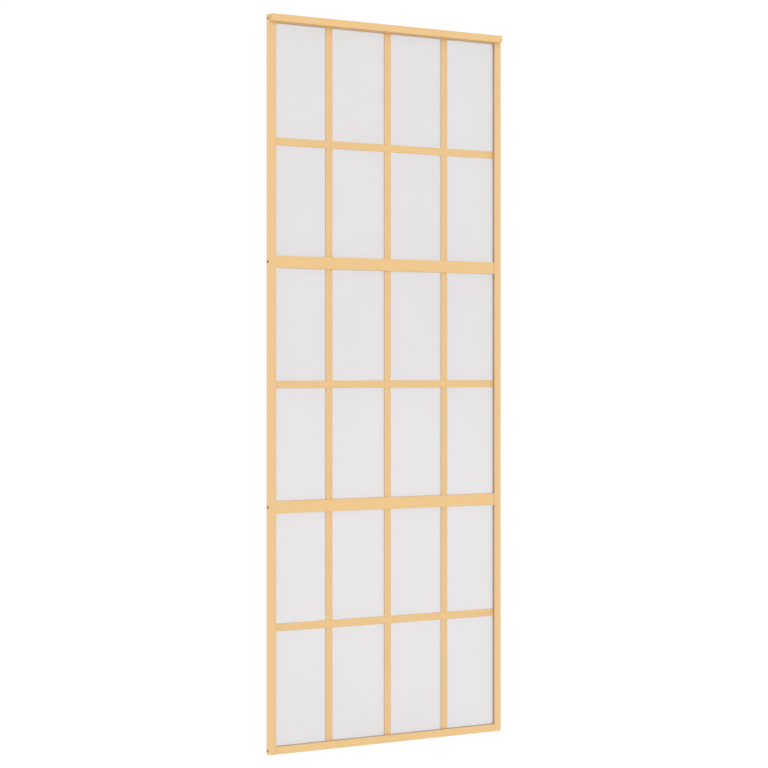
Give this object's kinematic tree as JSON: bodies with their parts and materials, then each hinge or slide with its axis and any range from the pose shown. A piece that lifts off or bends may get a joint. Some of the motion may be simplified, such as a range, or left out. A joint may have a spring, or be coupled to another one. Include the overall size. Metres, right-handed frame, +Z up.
{
  "type": "glass sliding door",
  "caption": "Tall slim sliding door leaf: gold aluminium frame, frosted glass, wide mid rails and a grid of flat glazing bars.",
  "frame": {"origin": "bottom centre of the leaf's box, on the underside of the bottom rail", "axes": "+Z up along the stiles, +X along the rails to the right seen from the front, +Y from the front face to the back"},
  "size_m": [0.76, 0.032, 2.05],
  "materials": {
    "frame_aluminium": "satin pale-gold coating, fine even texture",
    "cap_plastic": "moulded in the frame's pale gold, matt",
    "frosted_glass": "satin-etched toughened glass, near white",
    "gasket_rubber": "extruded brown rubber, matt",
    "adhesive_foam": "thin closed-cell foam tape",
    "screw_steel": "blackened steel",
    "hanger_steel": "zinc-plated steel"
  },
  "bodies": {
    "root": {"left_stile": "frame_aluminium", "right_stile": "frame_aluminium", "top_rail": "frame_aluminium", "bottom_rail": "frame_aluminium", "lower_mid_rail": "frame_aluminium", "upper_mid_rail": "frame_aluminium", "top_rail_left_cap": "cap_plastic", "top_rail_right_cap": "cap_plastic", "left_frame_screws": "screw_steel", "right_frame_screws": "screw_steel", "left_hanger_plate": "hanger_steel", "right_hanger_plate": "hanger_steel", "hanger_plate_screws": "hanger_steel", "lower_glass_pane": "frosted_glass", "lower_glass_left_gasket": "gasket_rubber", "lower_glass_right_gasket": "gasket_rubber", "lower_glass_bottom_gasket": "gasket_rubber", "lower_glass_top_seal": "gasket_rubber", "lower_left_muntin": "frame_aluminium", "lower_centre_muntin": "frame_aluminium", "lower_right_muntin": "frame_aluminium", "lower_cross_muntin": "frame_aluminium", "lower_muntin_tape": "adhesive_foam", "middle_glass_pane": "frosted_glass", "middle_glass_left_gasket": "gasket_rubber", "middle_glass_right_gasket": "gasket_rubber", "middle_glass_bottom_seal": "gasket_rubber", "middle_glass_top_seal": "gasket_rubber", "middle_left_muntin": "frame_aluminium", "middle_centre_muntin": "frame_aluminium", "middle_right_muntin": "frame_aluminium", "middle_cross_muntin": "frame_aluminium", "middle_muntin_tape": "adhesive_foam", "upper_glass_pane": "frosted_glass", "upper_glass_left_gasket": "gasket_rubber", "upper_glass_right_gasket": "gasket_rubber", "upper_glass_bottom_seal": "gasket_rubber", "upper_glass_top_gasket": "gasket_rubber", "upper_left_muntin": "frame_aluminium", "upper_centre_muntin": "frame_aluminium", "upper_right_muntin": "frame_aluminium", "upper_cross_muntin": "frame_aluminium", "upper_muntin_tape": "adhesive_foam"}
  },
  "joints": []
}
